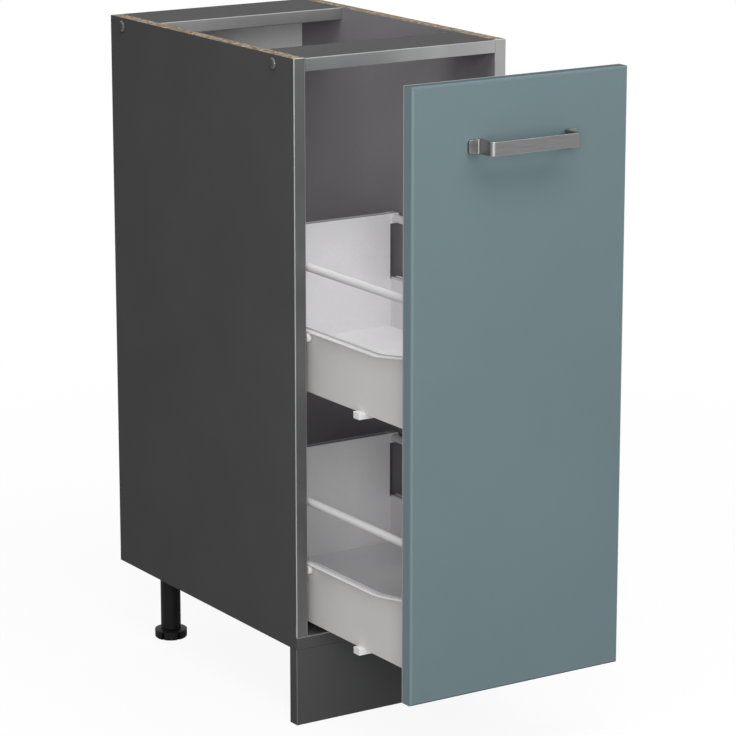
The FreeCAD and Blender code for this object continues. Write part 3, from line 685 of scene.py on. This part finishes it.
CAP_DROP_MM = 2.4
CAP_DARK_RING_MM = 6.9
CAP_FLAT_SHARE = 0.93
CAP_SIDES = 32
CAP_STEPS_MM = ((8.4, 0.0), (8.4, 0.3), (8.1, 0.6), (7.0, 0.7), (6.6, 0.95), (6.1, 1.7), (5.6, 2.45),
                (5.1, 2.75), (4.3, 2.9), (2.5, 3.0), (0.8, 3.05))
CAP_LOOKS = ("cap", "board", "rail")


def make_cover_caps():
    """Domed caps over the rail screws, set low so that they clear the sides' top edges."""
    low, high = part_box("rail_screws")
    head = (high.z - low.z) / 2
    height = low.z + head - CAP_DROP_MM * MM
    depths = (low.y + head, high.y - head)
    for side, sign in (("left", -1), ("right", 1)):
        panel_low, panel_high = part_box(f"side_panel_{side}")
        face = panel_low.x if sign < 0 else panel_high.x
        build = bmesh.new()
        for y in depths:
            button(build, looking((face, y, height), (sign, 0, 0)), in_metres(CAP_STEPS_MM), CAP_SIDES)
        build.normal_update()
        for part in build.faces:
            middle = part.calc_center_median()
            away = min(math.hypot(middle.y - y, middle.z - height) for y in depths)
            look = "board" if abs(part.normal.x) > CAP_FLAT_SHARE else "cap"
            # Painted shade: the cap's outer wall, slope and flat ring get the darker rail board, as a dark
            # outline round the cap
            if away > CAP_DARK_RING_MM * MM:
                look = "rail"
            part.material_index = CAP_LOOKS.index(look)
        small_hardware(build, f"cover_caps_{side}", "carcass", "leg_plastic", *CAP_LOOKS)


NAIL_EDGE_MM = 7.0
NAIL_PITCH_MM = 115.0
NAIL_SIDES = 12
NAIL_STEPS_MM = ((0.2, -18.0), (0.8, -16.5), (0.8, 0.0), (2.3, 0.0), (2.2, 0.3), (1.6, 0.7), (0.6, 0.9))


def spaced(low, high, pitch):
    """Evenly spaced places between two ends, about a pitch apart."""
    count = max(1, round((high - low) / pitch))
    return [low + (high - low) * index / count for index in range(count + 1)]


def make_back_nails():
    """Nails through the rear sheet into the boards' edges."""
    low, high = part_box("back_panel")
    edge = NAIL_EDGE_MM * MM
    pitch = NAIL_PITCH_MM * MM
    across = spaced(low.x + edge, high.x - edge, pitch)
    upward = spaced(low.z + edge, high.z - edge, pitch)
    places = [(x, z) for x in (low.x + edge, high.x - edge) for z in upward]
    places += [(x, z) for z in (low.z + edge, high.z - edge) for x in across[1:-1]]
    build = bmesh.new()
    for x, z in places:
        button(build, looking((x, high.y, z), (0, 1, 0)), in_metres(NAIL_STEPS_MM), NAIL_SIDES)
    small_hardware(build, "back_nails", "carcass", "zinc_screw", "zinc")


# Pull-out

FRONT_BEVEL_MM = 0.7
HANDLE_BEVEL_MM = 0.6
HANDLE_SEGMENTS = 3
FLOOR_BEVEL_MM = 0.3
FOIL_LAP_MM = 2.0
EDGING_LIP_MM = 6.0
# Head radius, head height, shank radius and shank length
PLATE_SCREW_MM = (3.1, 1.7, 1.6, 9.0)
PLATE_SCREW_SHARES = (0.25, 0.75)
HANDLE_SHANK_MM = 4.0
HANDLE_PAD_MM = 4.0


def make_plate_screws():
    """Screws through the brackets into the front panel, inside the trays."""
    sizes = [size * MM for size in PLATE_SCREW_MM]
    build = bmesh.new()
    for level in LEVELS:
        brackets = f"front_blocks_{level}"
        low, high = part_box(brackets)
        floor_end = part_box(f"tray_floor_{level}")[1].x
        plate_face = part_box(f"tray_rim_{level}")[0].y
        plate_end = max(vertex.co.x for vertex in nodes[brackets].data.vertices if vertex.co.x < 0)
        x = (floor_end - plate_end) / 2
        for share in PLATE_SCREW_SHARES:
            z = low.z + (high.z - low.z) * share
            for sign in (-1, 1):
                screw(build, looking((sign * x, plate_face, z), (0, 1, 0)), *sizes)
    small_hardware(build, "plate_screws", "pull_out", "zinc_screw", "zinc")


def make_handle_screws():
    """The screws that hold the handle, with their heads on the back of the front panel."""
    low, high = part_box("handle_screws")
    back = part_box("front_panel")[1].y
    radius = (high.z - low.z) / 2
    height = high.y - back
    build = bmesh.new()
    for x in (low.x + radius, high.x - radius):
        place = looking((x, back, low.z + radius), (0, 1, 0))
        screw(build, place, radius, height, HANDLE_SHANK_MM / 2 * MM, back - low.y)
    stand_for(build, "handle_screws", "zinc")


def make_front():
    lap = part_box("front_panel")[1].y - FOIL_LAP_MM * MM
    # The rounded edges get the lighter foil as a painted highlight
    rounding = facing_between(Y, -WHOLLY, -GRAZING)
    # The lower rounding gets the much darker foil as painted shade
    under = facing_between(Z, -WHOLLY, -0.3)
    # The top edge gets the darker foil as painted shade
    top = facing(Z, 1, WHOLLY)
    back_rim = behind(lap, facing_between(Y, -GRAZING, WHOLLY))
    # The upper rounding gets darker foil as painted shade, and the side edges get lighter foil as painted
    # light
    refined("front_panel", "foil", FRONT_BEVEL_MM, cut_y=lap,
            patches=[(rounding, "foil_edge"), (upper_front, "foil_crest"), (under, "foil_under"),
                     (top, "foil_top"), (side_edge, "foil_side"), (back_rim, "backing")])
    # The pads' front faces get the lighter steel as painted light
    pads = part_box("handle")[1].y - HANDLE_PAD_MM * MM
    # The bar's softened long edges get the lighter steel as a painted highlight
    refined("handle", "steel", HANDLE_BEVEL_MM, HANDLE_SEGMENTS,
            patches=[(slanted, "steel_edge"), (behind(pads, facing(Y, -1)), "steel_pad")])
    make_handle_screws()


def make_tray(level):
    # The tray walls' outer and inner faces get darker copies of the white paint as painted shade
    refined(f"tray_wall_{level}", "powder", SHEET_BEVEL_MM,
            patches=[(outward, "side_paint"), (inward, "wall_inside")])
    # The rim's groove and inner lip get the grey paint as painted shade
    refined(f"tray_rim_{level}", "powder", SHEET_BEVEL_MM, patches=[(in_groove, "groove")])
    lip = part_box(f"tray_back_{level}")[0].y + EDGING_LIP_MM * MM
    upward = facing(Z, 1, 0.95)
    for name, look, bevel_mm in (("tray_back", "tray_board", BOARD_BEVEL_MM),
                                 ("gallery_holders", "nylon", PLASTIC_BEVEL_MM)):
        refined(f"{name}_{level}", look, bevel_mm, cut_y=lip,
                patches=[(upward, "back_edging"), (behind(lip, upward), "back_lip")])
    refined(f"tray_floor_{level}", "tray_floor", FLOOR_BEVEL_MM)
    for name in ("gallery_sockets", "guide_clips", "front_blocks"):
        refined(f"{name}_{level}", "nylon", PLASTIC_BEVEL_MM)
    for side in SIDES:
        refined(f"gallery_{level}_{side}", "rod", PLASTIC_BEVEL_MM)
        refined(f"rear_roller_{level}_{side}", "nylon", ROLLER_BEVEL_MM)


def make_pull_out():
    make_front()
    refined("rear_roller_pins", "zinc", PIN_BEVEL_MM)
    for level in LEVELS:
        make_tray(level)


# Stage, lights and camera

FLOOR_HALF = 9.0
FLOOR_SEEN = (1.0, 1.0, 1.0)
FLOOR_BOUNCE = (0.25, 0.25, 0.25)
# Share of plain white beside the part, and the radii between which it grows to all
CAMERA_GLOW = (0.92, 0.8, 1.8)
MIRROR_GLOW = (0.15, 0.4, 1.5)


def stage_material():
    """Pale floor that keeps a soft shadow near the part and fades to white further out."""
    look = Surface("pale_floor", Roughness=0.9, Specular_IOR_Level=0.0)
    path = look.add("ShaderNodeLightPath")
    distance = look.add("ShaderNodeVectorMath", operation="LENGTH")
    look.feed(distance.inputs[0], look.place)

    def joined(operation, first, second):
        node = look.add("ShaderNodeMath", operation=operation)
        look.feed(node.inputs[0], first)
        look.feed(node.inputs[1], second)
        return node.outputs["Value"]

    def white_share(ray, glow):
        beside, near, far = glow
        return joined("MULTIPLY", ray, look.span(distance.outputs["Value"], beside, 1.0, near, far))

    camera = path.outputs["Is Camera Ray"]
    mirror = joined("MAXIMUM", path.outputs["Is Glossy Ray"], path.outputs["Is Transmission Ray"])
    look.colour(look.mixed(joined("MAXIMUM", camera, mirror), FLOOR_BOUNCE, FLOOR_SEEN))
    share = joined("MAXIMUM", white_share(camera, CAMERA_GLOW), white_share(mirror, MIRROR_GLOW))
    glow = look.add("ShaderNodeEmission")
    mix = look.add("ShaderNodeMixShader")
    look.feed(mix.inputs["Fac"], share)
    look.feed(mix.inputs[1], look.shader.outputs["BSDF"])
    look.feed(mix.inputs[2], glow.outputs["Emission"])
    look.feed(look.tree.nodes["Material Output"].inputs["Surface"], mix.outputs["Shader"])
    return look.material


def make_stage():
    build = bmesh.new()
    bmesh.ops.create_grid(build, x_segments=2, y_segments=2, size=FLOOR_HALF)
    floor = finish_mesh(build, "floor", [stage_material()])


WORLD_LIGHT = 0.18
WORLD_WHITE = 1.0


def make_world():
    """White where it is seen directly, in a mirror or through a pane; a low level as light."""
    world = bpy.data.worlds.new("studio")
    bpy.context.scene.world = world
    world.use_nodes = True
    tree = world.node_tree
    background = tree.nodes["Background"]
    path = tree.nodes.new("ShaderNodeLightPath")
    seen = path.outputs["Is Camera Ray"]
    for name in ("Is Glossy Ray", "Is Transmission Ray"):
        either = tree.nodes.new("ShaderNodeMath")
        either.operation = "MAXIMUM"
        tree.links.new(seen, either.inputs[0])
        tree.links.new(path.outputs[name], either.inputs[1])
        seen = either.outputs["Value"]
    level = tree.nodes.new("ShaderNodeMapRange")
    level.inputs["To Min"].default_value = WORLD_LIGHT
    level.inputs["To Max"].default_value = WORLD_WHITE
    tree.links.new(seen, level.inputs["Value"])
    tree.links.new(level.outputs["Result"], background.inputs["Strength"])
    background.inputs["Color"].default_value = (1.0, 1.0, 1.0, 1.0)


FRONT_TARGET = (0.0, -0.1, 0.45)
REAR_TARGET = (0.0, 0.1, 0.45)
# Name, place, target, width and height in metres, and power in watts
LAMPS = (
    ("front_light", (-1.92, -3.06, 1.08), FRONT_TARGET, (1.6, 2.6), 74.0),
    ("top_light", (-0.48, -1.41, 3.44), FRONT_TARGET, (2.0, 2.0), 60.0),
    ("right_light", (1.12, -2.05, 3.13), FRONT_TARGET, (1.6, 1.6), 32.0),
    ("left_light", (-1.94, -0.62, 3.32), FRONT_TARGET, (1.6, 1.6), 9.0),
    ("rear_light", (1.5, 2.7, 2.4), REAR_TARGET, (1.6, 1.6), 30.0),
)


def make_lights():
    for name, place, target, size, power in LAMPS:
        lamp = bpy.data.lights.new(name, "AREA")
        lamp.shape = "RECTANGLE"
        lamp.size, lamp.size_y = size
        lamp.energy = power
        holder = bpy.data.objects.new(name, lamp)
        holder.location = place
        holder.rotation_euler = (Vector(target) - Vector(place)).to_track_quat("-Z", "Y").to_euler()
        bpy.context.scene.collection.objects.link(holder)


def make_camera():
    data = bpy.data.cameras.new("photo_camera")
    data.lens = CAMERA_LENS_MM
    data.sensor_width = CAMERA_SENSOR_MM
    camera = bpy.data.objects.new("photo_camera", data)
    camera.location = CAMERA_PLACE
    camera.rotation_euler = (math.radians(90 - CAMERA_DOWN_DEG), 0.0, math.radians(CAMERA_YAW_DEG))
    bpy.context.scene.collection.objects.link(camera)
    bpy.context.scene.camera = camera


make_carcass()
make_cover_caps()
make_back_nails()
make_pull_out()
make_plate_screws()
make_stage()
make_world()
make_lights()
make_camera()
bpy.context.scene.view_settings.view_transform = "Standard"
